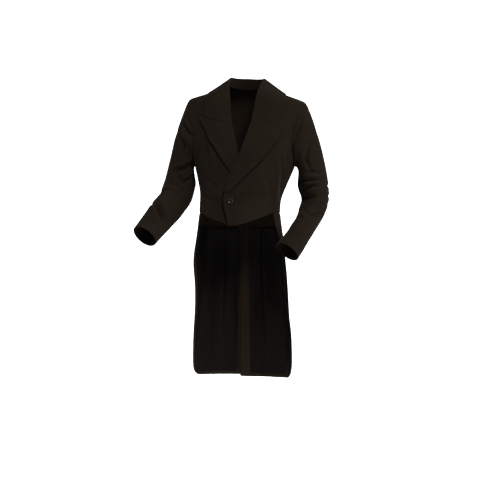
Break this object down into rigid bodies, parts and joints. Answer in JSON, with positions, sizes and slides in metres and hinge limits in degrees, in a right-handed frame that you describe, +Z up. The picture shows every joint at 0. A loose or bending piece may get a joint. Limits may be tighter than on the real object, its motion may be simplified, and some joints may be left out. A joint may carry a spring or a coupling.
{
  "type": "tailcoat",
  "caption": "Worn, hollow tailcoat with a short buttoned front, wide peaked lapels, two-piece sleeves and long round-cornered tails.",
  "frame": {"origin": "middle of the shoulders, level with the base of the neck, where the wearer holds the coat up", "axes": "+Z up, the front faces -Y, +X is the wearer's left"},
  "size_m": [0.7542, 0.3435, 1.212],
  "materials": {
    "coat_cloth": "matt black wool-like suiting",
    "lining": "smooth black satin",
    "button": "glossy black"
  },
  "bodies": {
    "root": {"forepart_left": "coat_cloth", "forepart_right": "coat_cloth", "side_body_left": "coat_cloth", "side_body_right": "coat_cloth", "back_left": "coat_cloth", "back_right": "coat_cloth", "tail_strip_left": "coat_cloth", "tail_strip_right": "coat_cloth", "skirt_left": "coat_cloth", "skirt_right": "coat_cloth", "lapel_left": "coat_cloth", "lapel_right": "coat_cloth", "collar": "coat_cloth", "top_sleeve_left": "coat_cloth", "top_sleeve_right": "coat_cloth", "under_sleeve_left": "coat_cloth", "under_sleeve_right": "coat_cloth", "tail_lining_left": "lining", "tail_lining_right": "lining", "button": "button"}
  },
  "joints": []
}
